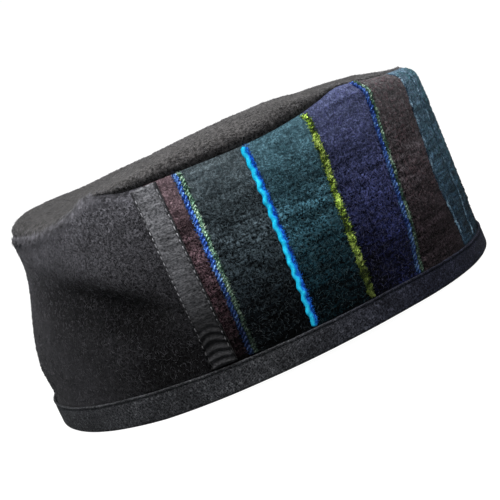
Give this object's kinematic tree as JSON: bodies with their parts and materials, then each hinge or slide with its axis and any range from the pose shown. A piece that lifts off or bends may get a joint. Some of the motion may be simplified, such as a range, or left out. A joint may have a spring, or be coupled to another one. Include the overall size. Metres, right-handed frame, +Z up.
{
  "type": "pillbox style wool cap",
  "caption": "Brimless oval wool cap: a striped front and plain back wall under a puffed crown, with ribbons over the side joins and a bound foot.",
  "frame": {"origin": "centre of the cap's bounding box, on the surface that the binding rests on", "axes": "+Z up through the crown, -Y towards the front of the cap, -X towards the wearer's right"},
  "size_m": [0.1726, 0.1976, 0.0884],
  "materials": {
    "striped_wool": "napped wool with upright woven stripes",
    "plain_wool": "napped wool",
    "crown_wool": "smooth felted wool",
    "ribbon": "ribbed woven ribbon",
    "binding": "plain woven tape"
  },
  "bodies": {
    "root": {"front_panel": "striped_wool", "back_wall": "plain_wool", "crown": "crown_wool", "ribbon_right": "ribbon", "ribbon_left": "ribbon", "binding": "binding"}
  },
  "joints": []
}
